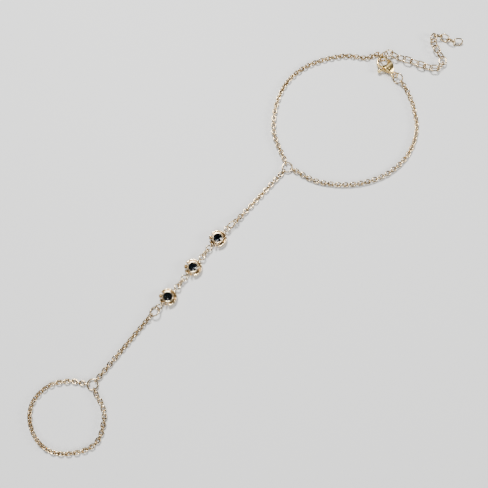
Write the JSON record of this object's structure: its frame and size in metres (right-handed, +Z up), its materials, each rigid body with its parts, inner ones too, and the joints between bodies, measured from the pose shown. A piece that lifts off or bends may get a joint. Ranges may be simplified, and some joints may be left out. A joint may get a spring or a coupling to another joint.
{
  "type": "hand chain bracelet",
  "caption": "Gold-tone hand chain: a wrist chain and a finger chain joined by a chain with round crown-set stones, with a lobster clasp and an extension chain.",
  "frame": {"origin": "under the middle of the piece's box, on the surface that it lies on", "axes": "+X from the finger chain to the wrist chain and the extension chain, +Z up from the surface"},
  "size_m": [0.204, 0.0517, 0.0041],
  "materials": {
    "chain_metal": "polished",
    "setting_metal": "polished",
    "clasp_metal": "polished",
    "cut_glass": "polished"
  },
  "bodies": {
    "hand_chain": {"finger_chain": "chain_metal", "finger_ring": "chain_metal", "hand_chain_lower": "chain_metal", "station_ring_lower": "chain_metal", "setting_1": "setting_metal", "stone_1": "cut_glass", "station_links_1": "chain_metal", "setting_2": "setting_metal", "stone_2": "cut_glass", "station_links_2": "chain_metal", "setting_3": "setting_metal", "stone_3": "cut_glass", "station_ring_upper": "chain_metal", "hand_chain_upper": "chain_metal", "wrist_ring": "chain_metal", "wrist_chain_left": "chain_metal", "wrist_chain_right": "chain_metal", "clasp_ring": "chain_metal", "clasp_body": "clasp_metal", "clasp_pin": "clasp_metal", "end_ring": "chain_metal", "extension_chain": "chain_metal"},
    "clasp_lever": {"clasp_lever": "clasp_metal"}
  },
  "joints": [
    {"name": "clasp_lever_hinge", "type": "hinge", "parent": "hand_chain", "child": "clasp_lever", "pos_m": [0.07557, 0.00057, 0.00135], "axis": [0, 0, -1], "range_deg": [0, 14], "stiffness_Nm_per_rad": 0.004, "springref_deg": -5.73}
  ]
}
